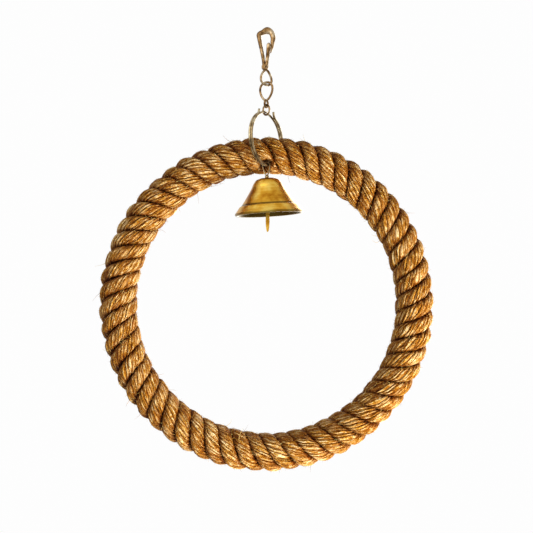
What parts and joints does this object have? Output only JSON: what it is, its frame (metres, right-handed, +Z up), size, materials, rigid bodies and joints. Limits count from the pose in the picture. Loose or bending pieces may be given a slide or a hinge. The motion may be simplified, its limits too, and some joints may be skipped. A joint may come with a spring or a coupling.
{
  "type": "rope ring perch",
  "caption": "Hanging round perch of thick laid rope on a hoop, with a split ring, chain links, snap hook and a bell with a clapper.",
  "frame": {"origin": "inside top of the snap hook's arch, where the perch hangs on a bar or wire", "axes": "+Z up along the hanging line, +X to the right and -Y towards the front, seen as in the picture"},
  "size_m": [0.2538, 0.0522, 0.3357],
  "materials": {
    "antique_nickel": "worn warm nickel plate",
    "bright_nickel": "bright nickel plate",
    "sisal": "hairy laid sisal yarn",
    "core_yarn": "plain twisted yarn",
    "hoop_steel": "drawn wire",
    "bell_brass": "polished, lightly tarnished"
  },
  "bodies": {
    "snap": {"snap_hook": "antique_nickel"},
    "gate": {"snap_gate": "antique_nickel"},
    "first_link": {"upper_link": "antique_nickel"},
    "second_link": {"lower_link": "antique_nickel"},
    "perch": {"split_ring": "bright_nickel", "rope_strand_1": "sisal", "rope_strand_2": "sisal", "rope_strand_3": "sisal", "core_cord": "core_yarn", "hoop_wire": "hoop_steel"},
    "hanger": {"bell_hanger": "bright_nickel"},
    "bell": {"bell_shell": "bell_brass"},
    "clapper": {"bell_clapper": "bell_brass"}
  },
  "joints": [
    {"name": "gate_open", "type": "hinge", "parent": "snap", "child": "gate", "pos_m": [0.0002, 0, -0.0248], "axis": [0, -1, 0], "range_deg": [0, 12], "stiffness_Nm_per_rad": 0.02},
    {"name": "first_link_swing", "type": "hinge", "parent": "snap", "child": "first_link", "pos_m": [0, 0, -0.03855], "axis": [0.7071, 0.7071, 0], "range_deg": [-40, 40]},
    {"name": "second_link_swing", "type": "hinge", "parent": "first_link", "child": "second_link", "pos_m": [0, 0, -0.0555], "axis": [0.5736, 0.8191, 0], "range_deg": [-35, 35]},
    {"name": "perch_swing", "type": "hinge", "parent": "second_link", "child": "perch", "pos_m": [0, 0, -0.06125], "axis": [0.8191, -0.5736, 0], "range_deg": [-20, 20]},
    {"name": "bell_swing", "type": "hinge", "parent": "perch", "child": "hanger", "pos_m": [0, -0.00216, -0.09969], "axis": [0.5736, 0.8179, -0.0461], "range_deg": [-18, 18]},
    {"name": "bell_spin", "type": "hinge", "parent": "hanger", "child": "bell", "pos_m": [0, -0.00216, -0.09969], "axis": [-0.0611, 0, 0.9981], "continuous": true},
    {"name": "clapper_swing", "type": "hinge", "parent": "hanger", "child": "clapper", "pos_m": [0.001, -0.00216, -0.11606], "axis": [0, 1, 0], "range_deg": [-38, 38]}
  ]
}
